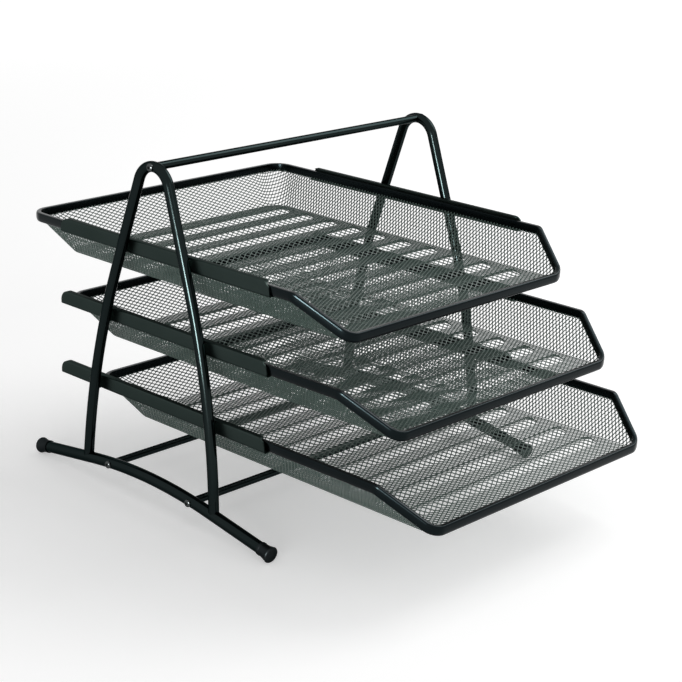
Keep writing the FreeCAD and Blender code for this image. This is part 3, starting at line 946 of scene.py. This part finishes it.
@dataclass
class Tray:
    """One sliding tray: its folded rim and its basket of expanded mesh."""

    maker: Maker
    rim_section: RimSection = RimSection()
    rim_above_rail: float = 4.74 * MM
    rim_half_width: float = 133.1 * MM
    rim_length: float = 329.2 * MM
    rim_rear_radius: float = 14.0 * MM
    drop_length: float = 37.2 * MM
    front_half_width: float = 114.4 * MM
    front_drop: float = 25.15 * MM
    bend_radius: float = 7.0 * MM
    front_radius: float = 13.0 * MM
    sheet: float = 0.6 * MM
    basket_depth: float = 27.1 * MM
    floor_half_width: float = 113.8 * MM
    floor_rear: float = 19.3 * MM
    wall_inset: float = 0.2 * MM
    edge_gap: float = 0.4 * MM        # the net ends this far below the strip's centre line
    corner_radius: float = 14.0 * MM
    lip_corner_cut: float = 5.0 * MM  # the net stops this far, over both edges, from the lip's corners
    long_pitch: float = 5.9 * MM
    short_pitch: float = 3.2 * MM
    strand_height: float = 0.56 * MM
    strand_width: float = 0.48 * MM
    bond_half_width: float = 0.38 * MM
    bond_half_length: float = 0.78 * MM
    first_rib: float = 43.0 * MM
    rib_pitch: float = 28.0 * MM
    rib_count: float = 10.0
    rib_half_length: float = 104.0 * MM
    rib_half_base: float = 6.6 * MM
    rib_half_top: float = 2.5 * MM
    rib_height: float = 3.3 * MM

    def build(self) -> None:
        """Make the rim and the two parts of the net once and seat a copy of each in every tier."""
        forms = [("tray_rim", "strip", "frame_paint", self.rim())]
        for part, front, rear in self.net_parts():
            forms.append(("mesh_basket", part, "mesh_paint", self.net(front, rear)))
        for tier in Tier:
            seat = tier.value
            for kind, part, slot, mesh in forms:
                copy = mesh.copy()
                copy.transform(seat.matrix(self.rim_above_rail, seat.tray_rear))
                node = f"{kind}_{seat.name}"
                self.maker.piece(f"{node}_{part}", copy, seat.body, slot, [node])

    def rim_path(self) -> list[Vector]:
        """Centre line of the rim: level round the back and sides, dropping to the front lip."""
        drop_start = -(self.rim_length - self.drop_length)
        right = [
            Vector((self.rim_half_width, 0.0, 0.0)),
            Vector((self.rim_half_width, drop_start, 0.0)),
            Vector((self.front_half_width, -self.rim_length, -self.front_drop)),
        ]
        left = [Vector((-point.x, point.y, point.z)) for point in reversed(right)]
        radii = [self.rim_rear_radius, self.bend_radius, self.front_radius]
        return rounded_loop(right + left, radii + radii[::-1], 12)

    def rim(self) -> Mesh:
        """The rim in the tray's own frame."""
        tree = RimTree(self.maker.material(RIM_PAINT))
        section = scene_object(path_curve(self.rim_section.points(), closed=True))
        mesh = tree.run(scene_object(path_curve(self.rim_path(), closed=True)), {"Section": section})
        bpy.data.objects.remove(section)
        keep_sharp_edges(mesh)
        return mesh

    def net_parts(self) -> list[tuple[str, float, float]]:
        """The names and the front and rear ends of the two halves that the net is made in."""
        middle, beyond = -self.rim_length / 2, 1.0
        return [("rear_net", middle, beyond), ("front_net", -beyond, middle)]

    def bond(self) -> Mesh:
        """One bond of the mesh with the two strands that rise from it, open where the next ones join on."""
        px, py = self.long_pitch / 2, self.short_pitch / 2
        reach, half = self.bond_half_length, self.bond_half_width
        across = Vector((-py, px)).normalized() * (self.strand_width / 2)
        plan = [(reach, 0.0), (0.0, half), (-reach, 0.0), (0.0, -half)]
        plan += [(px / 2 - across.x, py / 2 - across.y), (px / 2 + across.x, py / 2 + across.y)]
        plan += [(px, py - half), (px - reach, py)]
        plan += [(-px / 2 - across.x, py / 2 + across.y), (-px / 2 + across.x, py / 2 - across.y)]
        plan += [(-px + reach, py), (-px, py - half)]
        loops = [(0, 1, 2, 3), (0, 4, 5, 1), (4, 6, 7, 5), (1, 8, 9, 2), (8, 10, 11, 9)]
        sides = [(0, 4), (4, 6), (7, 5), (5, 1), (1, 8), (8, 10), (11, 9), (9, 2)]
        top, count = self.strand_height / 2, len(plan)
        vertices = [(x, y, z) for z in (top, -top) for x, y in plan]
        faces = [list(loop) for loop in loops]
        faces += [[index + count for index in reversed(loop)] for loop in loops]
        faces += [[b, a, a + count, b + count] for a, b in sides]
        mesh = bpy.data.meshes.new("bond")
        mesh.from_pydata(vertices, [], faces)
        return mesh

    def net(self, front: float, rear: float) -> Mesh:
        """One part of the basket's net in the tray's own frame.

        Args:
            front: front end of this part on the flat sheet.
            rear: its rear end.

        Returns:
            A closed mesh.
        """
        tree = NetTree(self.maker.material(MESH_PAINT))
        depth = self.basket_depth
        flare = self.rim_half_width - self.wall_inset - self.floor_half_width
        wall = math.hypot(flare, depth)
        drop_slope = self.front_drop / self.drop_length
        columns = 2 * int((self.floor_half_width + wall) / self.long_pitch) + 3
        rows = int((self.rim_length + wall) / self.short_pitch) + 4
        inputs = {
            "Long pitch": self.long_pitch,
            "Short pitch": self.short_pitch,
            "Columns": columns,
            "Rows": rows,
            "Sheet middle": (wall - self.floor_rear - self.rim_length) / 2,
            "Floor half width": self.floor_half_width,
            "Floor rear": -self.floor_rear,
            "Corner radius": self.corner_radius,
            "Wall flare": flare,
            "Wall depth": depth,
            "Wall top": wall - self.edge_gap,
            "Lip": -self.rim_length,
            "Drop start": -(self.rim_length - self.drop_length),
            "Drop slope": drop_slope,
            "Lip corner cut": self.lip_corner_cut,
            "Lip corner lean": 1.0 / math.hypot(1.0, drop_slope * wall / depth),
            "Part front": front,
            "Part rear": rear,
            "Floor height": -depth - self.sheet / 2,
            "First rib": self.first_rib,
            "Rib pitch": self.rib_pitch,
            "Ribs": self.rib_count,
            "Rib half length": self.rib_half_length,
            "Rib half base": self.rib_half_base,
            "Rib half top": self.rib_half_top,
            "Rib height": self.rib_height,
        }
        mesh = tree.run(scene_object(self.bond()), inputs)
        shape = bmesh.new()
        shape.from_mesh(mesh)
        open_edges = [edge for edge in shape.edges if len(edge.link_faces) == 1]
        bmesh.ops.holes_fill(shape, edges=open_edges, sides=4)
        shape.to_mesh(mesh)
        shape.free()
        return mesh


# Studio


@dataclass(frozen=True)
class Lamp:
    """A rectangular lamp that faces the object: its place and size in metres and its power in watts.

    A lamp that is mirrored only shows as a highlight in glossy paint and lights nothing.
    """

    name: str
    place: tuple[float, float, float]
    size: tuple[float, float]
    watts: float
    mirrored_only: bool = False


@dataclass
class Studio:
    """White floor, soft light and the camera."""

    target: tuple[float, float, float] = (20.390 * MM, 14.218 * MM, 102.695 * MM)
    distance: float = 1381.168 * MM
    azimuth: float = math.radians(-46.346)
    elevation: float = math.radians(19.126)
    roll: float = math.radians(2.172)
    focal_pixels: float = 1760.757
    image_pixels: float = 682.0
    floor_glow: float = 0.36
    fade_glow: float = 0.38
    fade_start: float = 0.5
    fade_end: float = 2.6
    floor_half: float = 6.0
    floor_white: float = 0.82
    room_light: float = 0.40
    lamp_aim: tuple[float, float, float] = (0.0, 0.0, 0.12)
    lamps: tuple[Lamp, ...] = (
        Lamp("left strip", (-1.28, -0.56, 0.26), (0.20, 0.34), 23.0, mirrored_only=True),
        Lamp("left panel", (-1.45, -0.63, 0.30), (0.90, 0.45), 9.0),
        Lamp("overhead panel", (1.05, -0.28, 1.10), (0.9, 0.9), 13.0),
        Lamp("front fill", (-0.20, -1.60, 1.10), (0.7, 0.5), 1.0),
    )
    sensor_width: float = 36.0

    def build(self) -> None:
        """Set the stage."""
        scene = bpy.context.scene
        scene.view_settings.view_transform = "Standard"
        self.floor()
        self.world()
        for lamp in self.lamps:
            self.light(lamp)
        self.camera()

    def floor(self) -> None:
        """A plain white floor that keeps the object's soft shadow and fades into the white room."""
        half = self.floor_half
        mesh = bpy.data.meshes.new("floor")
        mesh.from_pydata([(-half, -half, 0), (half, -half, 0), (half, half, 0), (-half, half, 0)], [], [(0, 1, 2, 3)])
        material = bpy.data.materials.new("white floor")
        material.use_nodes = True
        sheet = NodeSheet(material.node_tree)
        x, y, _ = sheet.split(sheet.add("ShaderNodeTexCoord").outputs["Object"])
        away = sheet.math("SQRT", x * x + y * y)
        fade = ((away - self.fade_start) / (self.fade_end - self.fade_start)).at_least(0.0).at_most(1.0)
        strength = self.seen(sheet) * (fade * self.fade_glow + self.floor_glow)
        glow = sheet.out("ShaderNodeEmission", {"Strength": strength})
        white = (self.floor_white, self.floor_white, self.floor_white, 1.0)
        both = sheet.out("ShaderNodeAddShader", {0: sheet.out("ShaderNodeBsdfDiffuse", {"Color": white}), 1: glow})
        sheet.add("ShaderNodeOutputMaterial", {"Surface": both})
        mesh.materials.append(material)
        floor = scene_object(mesh, "floor")

    @staticmethod
    def seen(sheet: NodeSheet) -> Value:
        """1 for the rays that show the background: straight on, mirrored or through clear matter."""
        rays = sheet.add("ShaderNodeLightPath")
        kinds = [Value(sheet, rays.outputs[f"Is {kind} Ray"]) for kind in ("Camera", "Glossy", "Transmission")]
        return kinds[0].at_least(kinds[1]).at_least(kinds[2])

    def world(self) -> None:
        """White where it is seen, and a plain soft light elsewhere."""
        world = bpy.data.worlds.new("soft white room")
        world.use_nodes = True
        bpy.context.scene.world = world
        sheet = NodeSheet(world.node_tree)
        white = {"Color": (1.0, 1.0, 1.0, 1.0), "Strength": self.seen(sheet).at_least(self.room_light)}
        sheet.add("ShaderNodeOutputWorld", {"Surface": sheet.out("ShaderNodeBackground", white)})

    def light(self, lamp: Lamp) -> None:
        """Hang one lamp and turn it to the object."""
        data = bpy.data.lights.new(lamp.name, "AREA")
        data.shape = "RECTANGLE"
        data.size, data.size_y = lamp.size
        data.energy = lamp.watts
        panel = scene_object(data, lamp.name)
        panel.location = lamp.place
        panel.rotation_euler = (Vector(self.lamp_aim) - Vector(lamp.place)).to_track_quat("-Z", "Y").to_euler()
        panel.visible_diffuse = not lamp.mirrored_only

    def camera(self) -> None:
        """The photograph's view."""
        back = Vector((
            math.sin(self.azimuth) * math.cos(self.elevation),
            -math.cos(self.azimuth) * math.cos(self.elevation),
            math.sin(self.elevation),
        ))
        right = (-back).cross(Vector((0, 0, 1))).normalized()
        up = right.cross(-back)
        turned_right = right * math.cos(self.roll) + up * math.sin(self.roll)
        turned_up = up * math.cos(self.roll) - right * math.sin(self.roll)
        data = bpy.data.cameras.new("camera")
        data.sensor_width = self.sensor_width
        data.lens = self.focal_pixels / self.image_pixels * data.sensor_width
        camera = scene_object(data, "camera")
        rotation = Matrix((turned_right, turned_up, back)).transposed().to_4x4()
        camera.matrix_world = Matrix.Translation(Vector(self.target) + back * self.distance) @ rotation
        bpy.context.scene.camera = camera


def main() -> None:
    """Build the letter tray and its studio."""
    maker = Maker()
    Studio().build()
    Stand(maker).build()
    Rails(maker).build()
    Tray(maker).build()


if __name__ == "__main__":
    main()
